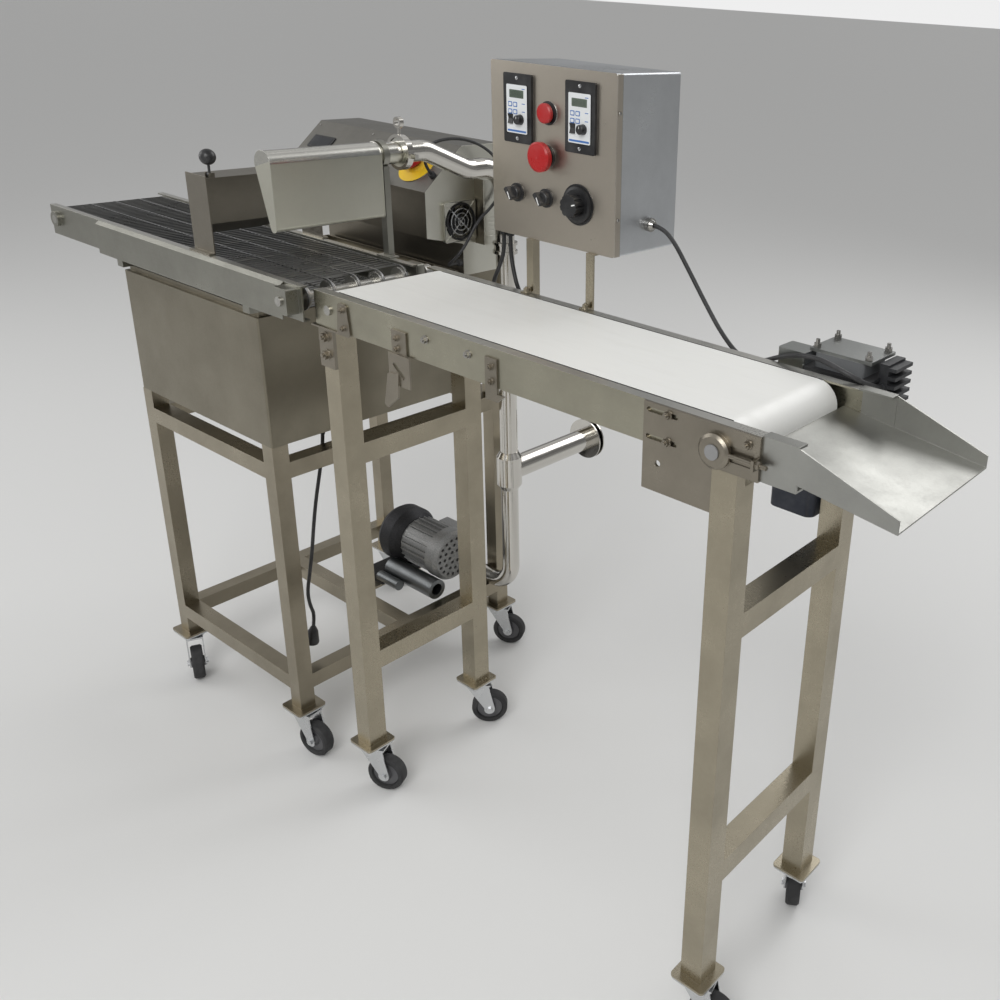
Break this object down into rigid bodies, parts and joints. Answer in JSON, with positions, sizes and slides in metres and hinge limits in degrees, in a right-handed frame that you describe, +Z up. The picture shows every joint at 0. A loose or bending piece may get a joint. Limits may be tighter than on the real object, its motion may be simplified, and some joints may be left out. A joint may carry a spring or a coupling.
{
  "type": "chocolate tempering machine",
  "caption": "Stainless chocolate tempering and enrobing line: wire mesh conveyor over a wheeled tank, air knife, blower, control box and a white discharge belt with a chute.",
  "frame": {"origin": "middle of the footprint at floor level, without the cords", "axes": "+X along the line from the mesh infeed to the discharge chute, +Y away from the operator, +Z up"},
  "size_m": [1.927, 0.821, 1.378],
  "materials": {
    "steel": "brushed stainless steel",
    "polished": "polished stainless tube",
    "zinc": "bright zinc plate",
    "wire": "stainless wire",
    "white_belt": "white food-grade belt",
    "rubber_lagging": "lagged drum",
    "aluminium": "cast aluminium",
    "motor_dark": "grey and navy paint",
    "blower_dark": "dark cast housing",
    "black_plastic": "moulded black",
    "red_plastic": "moulded red",
    "cable": "black cable sheath",
    "wheel_rubber": "black rubber"
  },
  "bodies": {
    "base": {"trolley_frame": "steel", "infeed_stand": "steel", "discharge_stand": "steel", "stand_brackets": "steel", "conveyor_bed": "steel", "takeup_plates": "steel", "conveyor_belt": "white_belt", "discharge_chute": "steel", "gear_motor": "motor_dark", "chocolate_tank": "steel", "mesh_conveyor_frame": "steel", "wire_mesh_belt": "wire", "flow_box": "steel", "air_pipework": "polished", "ring_blower": "blower_dark", "blower_motor": "aluminium", "tempering_cabinet": "steel", "cabinet_fan_guard": "zinc", "control_box": "steel", "control_box_posts": "steel", "motor_cable": "cable", "power_cord": "cable", "power_plug": "black_plastic", "cabinet_cable": "cable", "box_cables": "cable", "caster_plates": "zinc"},
    "trolley_near_left_caster_swivel": {"trolley_near_left_caster_fork": "zinc"},
    "trolley_near_left_wheel": {"trolley_near_left_caster_wheel": "wheel_rubber"},
    "trolley_far_left_caster_swivel": {"trolley_far_left_caster_fork": "zinc"},
    "trolley_far_left_wheel": {"trolley_far_left_caster_wheel": "wheel_rubber"},
    "trolley_near_right_caster_swivel": {"trolley_near_right_caster_fork": "zinc"},
    "trolley_near_right_wheel": {"trolley_near_right_caster_wheel": "wheel_rubber"},
    "trolley_far_right_caster_swivel": {"trolley_far_right_caster_fork": "zinc"},
    "trolley_far_right_wheel": {"trolley_far_right_caster_wheel": "wheel_rubber"},
    "infeed_near_caster_swivel": {"infeed_near_caster_fork": "zinc"},
    "infeed_near_wheel": {"infeed_near_caster_wheel": "wheel_rubber"},
    "infeed_far_caster_swivel": {"infeed_far_caster_fork": "zinc"},
    "infeed_far_wheel": {"infeed_far_caster_wheel": "wheel_rubber"},
    "discharge_near_caster_swivel": {"discharge_near_caster_fork": "zinc"},
    "discharge_near_wheel": {"discharge_near_caster_wheel": "wheel_rubber"},
    "discharge_far_caster_swivel": {"discharge_far_caster_fork": "zinc"},
    "discharge_far_wheel": {"discharge_far_caster_wheel": "wheel_rubber"},
    "drive_roller": {"drive_roller": "rubber_lagging"},
    "tail_roller": {"tail_roller": "steel"},
    "mesh_drive_roller": {"mesh_drive_roller": "steel"},
    "mesh_idler_roller": {"mesh_idler_roller": "steel"},
    "cabinet_fan": {"cabinet_fan_rotor": "black_plastic"},
    "cabinet_stop": {"cabinet_emergency_stop": "red_plastic"},
    "box_stop": {"box_emergency_stop": "red_plastic"},
    "red_button": {"red_push_button": "red_plastic"},
    "left_selector": {"left_selector_knob": "black_plastic"},
    "right_selector": {"right_selector_knob": "black_plastic"},
    "speed_dial": {"speed_dial": "black_plastic"},
    "left_speed_knob": {"left_speed_knob": "black_plastic"},
    "left_speed_rocker": {"left_speed_rocker": "black_plastic"},
    "right_speed_knob": {"right_speed_knob": "black_plastic"},
    "right_speed_rocker": {"right_speed_rocker": "black_plastic"},
    "flow_lever": {"flow_lever": "black_plastic"},
    "air_knife": {"air_knife": "steel"},
    "bleed_disc": {"bleed_disc": "polished"}
  },
  "joints": [
    {"name": "trolley_near_left_caster_turns", "type": "hinge", "parent": "base", "child": "trolley_near_left_caster_swivel", "pos_m": [-0.6985, -0.3575, 0.108], "axis": [0, 0, 1], "continuous": true},
    {"name": "trolley_near_left_wheel_rolls", "type": "hinge", "parent": "trolley_near_left_caster_swivel", "child": "trolley_near_left_wheel", "pos_m": [-0.67403, -0.36891, 0.0375], "axis": [0.4226, 0.9063, 0], "continuous": true},
    {"name": "trolley_far_left_caster_turns", "type": "hinge", "parent": "base", "child": "trolley_far_left_caster_swivel", "pos_m": [-0.6985, 0.1705, 0.108], "axis": [0, 0, 1], "continuous": true},
    {"name": "trolley_far_left_wheel_rolls", "type": "hinge", "parent": "trolley_far_left_caster_swivel", "child": "trolley_far_left_wheel", "pos_m": [-0.67313, 0.17974, 0.0375], "axis": [-0.342, 0.9397, 0], "continuous": true},
    {"name": "trolley_near_right_caster_turns", "type": "hinge", "parent": "base", "child": "trolley_near_right_caster_swivel", "pos_m": [-0.2775, -0.3575, 0.108], "axis": [0, 0, 1], "continuous": true},
    {"name": "trolley_near_right_wheel_rolls", "type": "hinge", "parent": "trolley_near_right_caster_swivel", "child": "trolley_near_right_wheel", "pos_m": [-0.25091, -0.35281, 0.0375], "axis": [-0.1736, 0.9848, 0], "continuous": true},
    {"name": "trolley_far_right_caster_turns", "type": "hinge", "parent": "base", "child": "trolley_far_right_caster_swivel", "pos_m": [-0.2775, 0.1705, 0.108], "axis": [0, 0, 1], "continuous": true},
    {"name": "trolley_far_right_wheel_rolls", "type": "hinge", "parent": "trolley_far_right_caster_swivel", "child": "trolley_far_right_wheel", "pos_m": [-0.25412, 0.184, 0.0375], "axis": [-0.5, 0.866, 0], "continuous": true},
    {"name": "infeed_near_caster_turns", "type": "hinge", "parent": "base", "child": "infeed_near_caster_swivel", "pos_m": [-0.0845, -0.3355, 0.108], "axis": [0, 0, 1], "continuous": true},
    {"name": "infeed_near_wheel_rolls", "type": "hinge", "parent": "infeed_near_caster_swivel", "child": "infeed_near_wheel", "pos_m": [-0.06003, -0.32409, 0.0375], "axis": [-0.4226, 0.9063, 0], "continuous": true},
    {"name": "infeed_far_caster_turns", "type": "hinge", "parent": "base", "child": "infeed_far_caster_swivel", "pos_m": [-0.0845, -0.0705, 0.108], "axis": [0, 0, 1], "continuous": true},
    {"name": "infeed_far_wheel_rolls", "type": "hinge", "parent": "infeed_far_caster_swivel", "child": "infeed_far_wheel", "pos_m": [-0.06541, -0.05141, 0.0375], "axis": [-0.7071, 0.7071, 0], "continuous": true},
    {"name": "discharge_near_caster_turns", "type": "hinge", "parent": "base", "child": "discharge_near_caster_swivel", "pos_m": [0.7315, -0.3545, 0.108], "axis": [0, 0, 1], "continuous": true},
    {"name": "discharge_near_wheel_rolls", "type": "hinge", "parent": "discharge_near_caster_swivel", "child": "discharge_near_wheel", "pos_m": [0.75758, -0.34751, 0.0375], "axis": [-0.2588, 0.9659, 0], "continuous": true},
    {"name": "discharge_far_caster_turns", "type": "hinge", "parent": "base", "child": "discharge_far_caster_swivel", "pos_m": [0.7315, -0.0705, 0.108], "axis": [0, 0, 1], "continuous": true},
    {"name": "discharge_far_wheel_rolls", "type": "hinge", "parent": "discharge_far_caster_swivel", "child": "discharge_far_wheel", "pos_m": [0.718, -0.04712, 0.0375], "axis": [-0.866, -0.5, 0], "continuous": true},
    {"name": "drive_roller_spins", "type": "hinge", "parent": "base", "child": "drive_roller", "pos_m": [0.717, -0.247, 0.984], "axis": [0, 1, 0], "continuous": true},
    {"name": "tail_roller_spins", "type": "hinge", "parent": "base", "child": "tail_roller", "pos_m": [-0.0565, -0.247, 0.991], "axis": [0, 1, 0], "continuous": true},
    {"name": "mesh_drive_spins", "type": "hinge", "parent": "base", "child": "mesh_drive_roller", "pos_m": [-0.1325, -0.2685, 0.9966], "axis": [0, 1, 0], "continuous": true},
    {"name": "mesh_idler_spins", "type": "hinge", "parent": "base", "child": "mesh_idler_roller", "pos_m": [-0.9365, -0.2685, 0.9966], "axis": [0, 1, 0], "continuous": true},
    {"name": "cabinet_fan_spins", "type": "hinge", "parent": "base", "child": "cabinet_fan", "pos_m": [-0.2735, 0.0755, 1.046], "axis": [1, 0, 0], "continuous": true},
    {"name": "cabinet_stop_press", "type": "slide", "parent": "base", "child": "cabinet_stop", "axis": [0, 0.6568, -0.7541], "range_m": [0, 0.004], "stiffness_N_per_m": 600},
    {"name": "box_stop_press", "type": "slide", "parent": "base", "child": "box_stop", "axis": [0, 1, 0], "range_m": [0, 0.005], "stiffness_N_per_m": 600},
    {"name": "red_button_press", "type": "slide", "parent": "base", "child": "red_button", "axis": [0, 1, 0], "range_m": [0, 0.004], "stiffness_N_per_m": 600},
    {"name": "left_selector_turns", "type": "hinge", "parent": "base", "child": "left_selector", "pos_m": [0.1155, -0.1225, 1.178], "axis": [0, -1, 0], "range_deg": [-45, 45]},
    {"name": "right_selector_turns", "type": "hinge", "parent": "base", "child": "right_selector", "pos_m": [0.1805, -0.1225, 1.178], "axis": [0, -1, 0], "range_deg": [-45, 45]},
    {"name": "speed_dial_turns", "type": "hinge", "parent": "base", "child": "speed_dial", "pos_m": [0.2495, -0.1215, 1.178], "axis": [0, -1, 0], "range_deg": [-150, 150]},
    {"name": "left_speed_knob_turns", "type": "hinge", "parent": "base", "child": "left_speed_knob", "pos_m": [0.13, -0.1245, 1.293], "axis": [0, -1, 0], "range_deg": [-140, 140]},
    {"name": "left_speed_rocker_tips", "type": "hinge", "parent": "base", "child": "left_speed_rocker", "pos_m": [0.109, -0.1245, 1.293], "axis": [1, 0, 0], "range_deg": [-6, 6]},
    {"name": "right_speed_knob_turns", "type": "hinge", "parent": "base", "child": "right_speed_knob", "pos_m": [0.2635, -0.1245, 1.293], "axis": [0, -1, 0], "range_deg": [-140, 140]},
    {"name": "right_speed_rocker_tips", "type": "hinge", "parent": "base", "child": "right_speed_rocker", "pos_m": [0.2425, -0.1245, 1.293], "axis": [1, 0, 0], "range_deg": [-6, 6]},
    {"name": "flow_lever_swings", "type": "hinge", "parent": "base", "child": "flow_lever", "pos_m": [-0.3825, -0.3595, 1.1585], "axis": [1, 0, 0], "range_deg": [-40, 40]},
    {"name": "air_knife_tilts", "type": "hinge", "parent": "base", "child": "air_knife", "pos_m": [-0.1975, -0.1605, 1.201], "axis": [0, 1, 0], "range_deg": [-15, 15]},
    {"name": "bleed_disc_screws", "type": "slide", "parent": "base", "child": "bleed_disc", "axis": [0, 1, 0], "range_m": [-0.008, 0.012]}
  ],
  "couplings": [
    {"joint": "tail_roller_spins", "follows": "drive_roller_spins", "ratio": 1.2917},
    {"joint": "mesh_idler_spins", "follows": "mesh_drive_spins", "ratio": 1}
  ]
}
